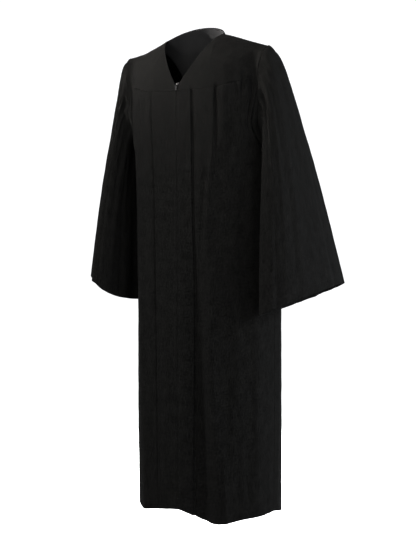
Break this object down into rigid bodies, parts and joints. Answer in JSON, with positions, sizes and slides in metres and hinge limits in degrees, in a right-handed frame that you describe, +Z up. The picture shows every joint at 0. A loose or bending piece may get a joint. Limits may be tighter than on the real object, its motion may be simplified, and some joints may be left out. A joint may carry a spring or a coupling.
{
  "type": "graduation gown",
  "caption": "Full-length black graduation gown with V neck, shoulder yokes, pleated front and back, long open bell sleeves and a front zip, filled out as worn.",
  "frame": {"origin": "midway between the two neck points of the shoulder seams, level with them, where the wearer's shoulders hold the gown up", "axes": "+Z up, -Y out of the gown's front, +X towards the wearer's left"},
  "size_m": [0.6315, 0.4007, 1.2793],
  "materials": {
    "gown_cloth": "matte black plain weave polyester",
    "neck_facing": "smooth, slightly shiny dark facing cloth",
    "zip_tape": "matte black woven tape",
    "zip_plastic": "black moulded coil",
    "slider_metal": "black enamelled zinc",
    "pull_metal": "plain nickel"
  },
  "bodies": {
    "gown": {"yoke_front_left": "gown_cloth", "yoke_front_right": "gown_cloth", "front_left": "gown_cloth", "front_right": "gown_cloth", "yoke_back": "gown_cloth", "back": "gown_cloth", "back_neck_facing": "neck_facing", "sleeve_left": "gown_cloth", "sleeve_right": "gown_cloth", "zip_tape_left": "zip_tape", "zip_tape_right": "zip_tape", "zip_chain": "zip_plastic", "zip_slider": "slider_metal"},
    "pull": {"zip_pull": "pull_metal"}
  },
  "joints": [
    {"name": "pull_hinge", "type": "hinge", "parent": "gown", "child": "pull", "pos_m": [-0.0022, -0.09537, -0.1292], "axis": [-1, 0, 0], "range_deg": [0, 165]}
  ]
}
